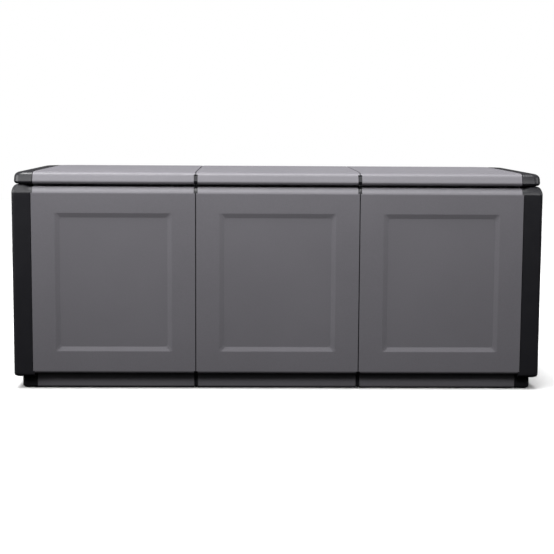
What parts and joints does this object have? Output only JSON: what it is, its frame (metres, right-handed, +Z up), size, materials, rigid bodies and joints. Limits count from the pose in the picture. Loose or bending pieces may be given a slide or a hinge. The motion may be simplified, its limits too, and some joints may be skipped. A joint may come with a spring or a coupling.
{
  "type": "deck storage box",
  "caption": "Long free-standing moulded storage box with modular sunken-field panels, wrap-round ends and a back-hinged lid.",
  "frame": {"origin": "on the ground under the middle of the closed box", "axes": "+X along the box towards its right end seen from the front, +Y from the front to the hinged back, +Z up"},
  "size_m": [1.38, 0.53, 0.57],
  "materials": {
    "grey_plastic": "satin grained polypropylene, cool grey",
    "black_plastic": "satin grained polypropylene, black",
    "pin_steel": "drawn steel, zinc plated",
    "screw_steel": "zinc plated steel"
  },
  "bodies": {
    "box": {"back_joiner_left": "black_plastic", "back_joiner_right": "black_plastic", "back_panel_left": "grey_plastic", "back_panel_middle": "grey_plastic", "back_panel_right": "grey_plastic", "base_end_left": "black_plastic", "base_end_right": "black_plastic", "end_panel_left": "black_plastic", "end_panel_right": "black_plastic", "floor_joiner_left": "black_plastic", "floor_joiner_right": "black_plastic", "floor_panel_left": "grey_plastic", "floor_panel_middle": "grey_plastic", "floor_panel_right": "grey_plastic", "front_joiner_left": "black_plastic", "front_joiner_right": "black_plastic", "front_panel_left": "grey_plastic", "front_panel_middle": "grey_plastic", "front_panel_right": "grey_plastic", "hinge_bracket_left": "black_plastic", "hinge_bracket_middle": "black_plastic", "hinge_bracket_right": "black_plastic", "hinge_bracket_screws": "screw_steel", "hinge_pin_left": "pin_steel", "hinge_pin_middle": "pin_steel", "hinge_pin_right": "pin_steel"},
    "lid": {"hinge_arm_left": "black_plastic", "hinge_arm_middle": "black_plastic", "hinge_arm_right": "black_plastic", "hinge_arm_screws": "screw_steel", "lid_end_cap_left": "black_plastic", "lid_end_cap_right": "black_plastic", "lid_joiner_left": "black_plastic", "lid_joiner_right": "black_plastic", "lid_panel_left": "grey_plastic", "lid_panel_middle": "grey_plastic", "lid_panel_right": "grey_plastic"}
  },
  "joints": [
    {"name": "lid_hinge", "type": "hinge", "parent": "box", "child": "lid", "pos_m": [0, 0.255, 0.541], "axis": [-1, 0, 0], "range_deg": [0, 100]}
  ]
}
